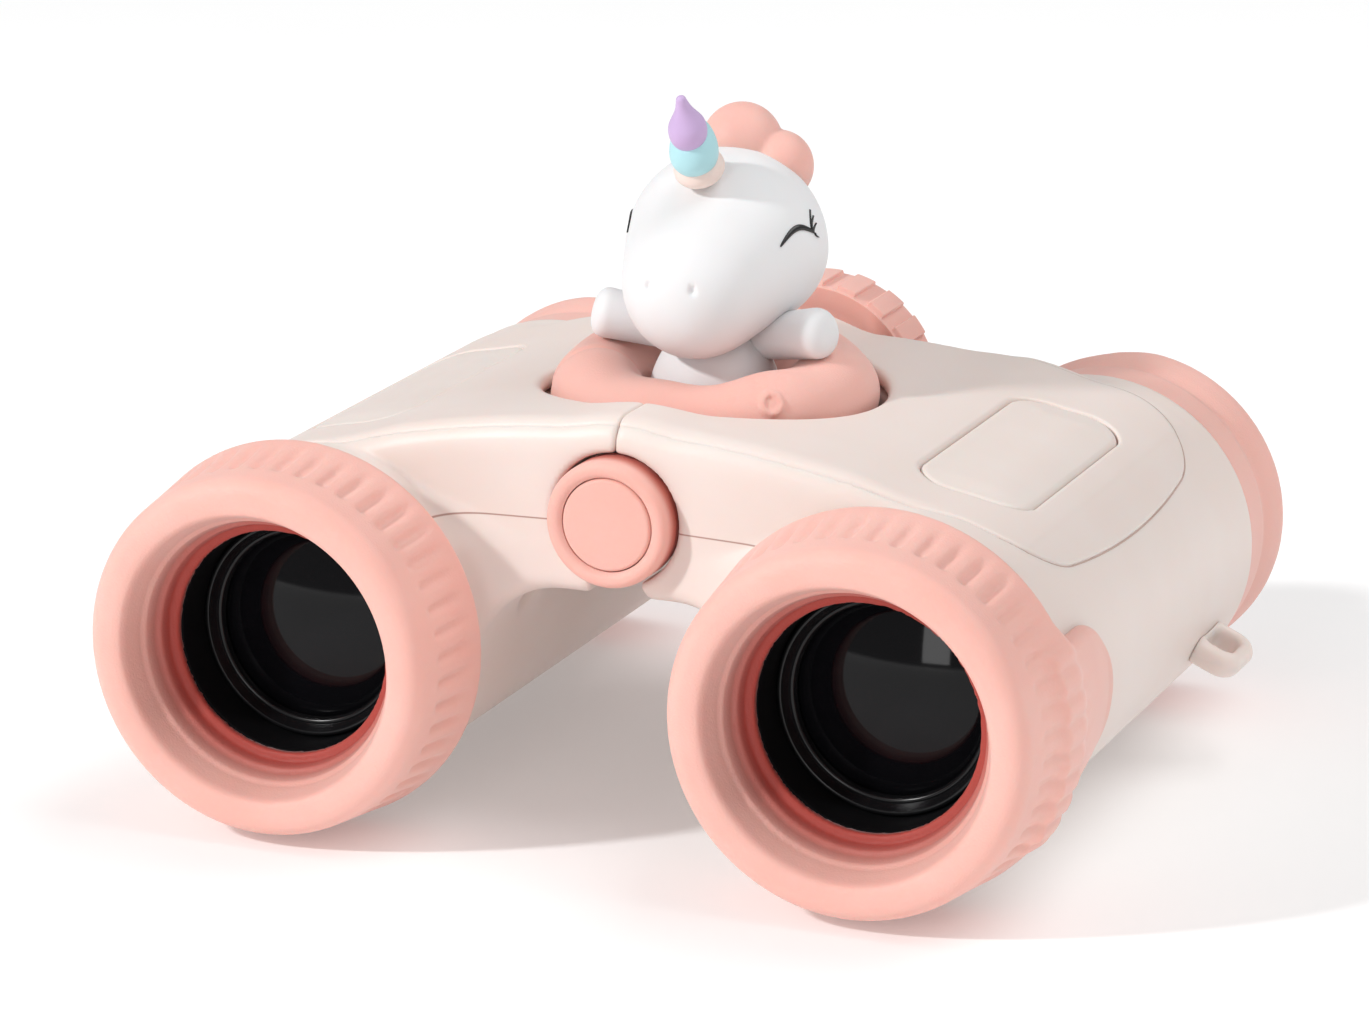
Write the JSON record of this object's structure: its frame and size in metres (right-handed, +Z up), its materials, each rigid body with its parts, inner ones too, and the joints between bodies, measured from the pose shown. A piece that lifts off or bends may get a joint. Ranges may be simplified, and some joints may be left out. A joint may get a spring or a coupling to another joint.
{
  "type": "toy binoculars",
  "caption": "Folding toy binoculars with hinged barrels, a focus wheel that moves the inner lenses, soft eyecups, and a small unicorn in a swim ring on the bridge.",
  "frame": {"origin": "on the floor, under the middle of the width and of the length", "axes": "+X across the barrels, +Y along the barrels from the objective rings to the eyecups, +Z up"},
  "size_m": [0.117, 0.0996, 0.0811],
  "materials": {
    "body_plastic": "pale pink satin plastic",
    "coral_soft_plastic": "coral soft-touch plastic",
    "black_plastic": "black, blackened inside",
    "lens_glass": "clear, coated",
    "steel": "plain steel",
    "figure_white": "white soft vinyl",
    "eye_black": "black paint line",
    "horn_cream": "cream vinyl",
    "horn_turquoise": "turquoise vinyl",
    "horn_lilac": "lilac vinyl"
  },
  "bodies": {
    "centre": {"centre_bracket": "steel", "hinge_pin": "steel", "hinge_cap": "coral_soft_plastic", "hinge_cap_disc": "coral_soft_plastic", "focus_washer": "steel", "swim_ring": "coral_soft_plastic", "figure_torso": "figure_white", "figure_head": "figure_white", "figure_mane": "coral_soft_plastic", "left_foreleg": "figure_white", "right_foreleg": "figure_white", "closed_eyes": "eye_black", "horn_base": "horn_cream", "horn_middle": "horn_turquoise", "horn_tip": "horn_lilac", "figure_screws": "steel"},
    "left_half": {"left_lower_shell": "body_plastic", "left_cover": "body_plastic", "left_grip_pad": "body_plastic", "left_case_screws": "steel", "left_objective_ring": "coral_soft_plastic", "left_objective_tube": "black_plastic", "left_objective_lens": "lens_glass", "left_lens_retainer": "black_plastic", "left_prism_cage": "black_plastic", "left_prism": "lens_glass", "left_eyepiece_tube": "black_plastic", "left_eye_lens": "lens_glass", "left_eyecup": "coral_soft_plastic", "left_strap_loop": "body_plastic"},
    "right_half": {"right_lower_shell": "body_plastic", "right_cover": "body_plastic", "right_grip_pad": "body_plastic", "right_case_screws": "steel", "right_objective_ring": "coral_soft_plastic", "right_objective_tube": "black_plastic", "right_objective_lens": "lens_glass", "right_lens_retainer": "black_plastic", "right_prism_cage": "black_plastic", "right_prism": "lens_glass", "right_eyepiece_tube": "black_plastic", "right_eye_lens": "lens_glass", "right_eyecup": "coral_soft_plastic", "right_strap_loop": "body_plastic"},
    "wheel": {"focus_wheel": "coral_soft_plastic", "focus_screw": "steel"},
    "carriage": {"focus_carriage": "black_plastic"},
    "left_cell": {"left_focus_cell": "black_plastic", "left_focus_lens": "lens_glass"},
    "right_cell": {"right_focus_cell": "black_plastic", "right_focus_lens": "lens_glass"}
  },
  "joints": [
    {"name": "left_fold", "type": "hinge", "parent": "centre", "child": "left_half", "pos_m": [0, 0, 0.0368], "axis": [0, -1, 0], "range_deg": [0, 20]},
    {"name": "right_fold", "type": "hinge", "parent": "centre", "child": "right_half", "pos_m": [0, 0, 0.0368], "axis": [0, 1, 0], "range_deg": [0, 20]},
    {"name": "focus_turn", "type": "hinge", "parent": "centre", "child": "wheel", "pos_m": [0, 0.034, 0.0368], "axis": [0, 1, 0], "range_deg": [-150, 150]},
    {"name": "carriage_slide", "type": "slide", "parent": "centre", "child": "carriage", "axis": [0, 1, 0], "range_m": [-0.003, 0.003]},
    {"name": "left_cell_slide", "type": "slide", "parent": "left_half", "child": "left_cell", "axis": [0, 1, 0], "range_m": [-0.003, 0.003]},
    {"name": "right_cell_slide", "type": "slide", "parent": "right_half", "child": "right_cell", "axis": [0, 1, 0], "range_m": [-0.003, 0.003]}
  ],
  "couplings": [
    {"joint": "right_fold", "follows": "left_fold", "ratio": 1},
    {"joint": "carriage_slide", "follows": "focus_turn", "m_per_rad": 0.001145},
    {"joint": "left_cell_slide", "follows": "focus_turn", "m_per_rad": 0.001145},
    {"joint": "right_cell_slide", "follows": "focus_turn", "m_per_rad": 0.001145}
  ]
}
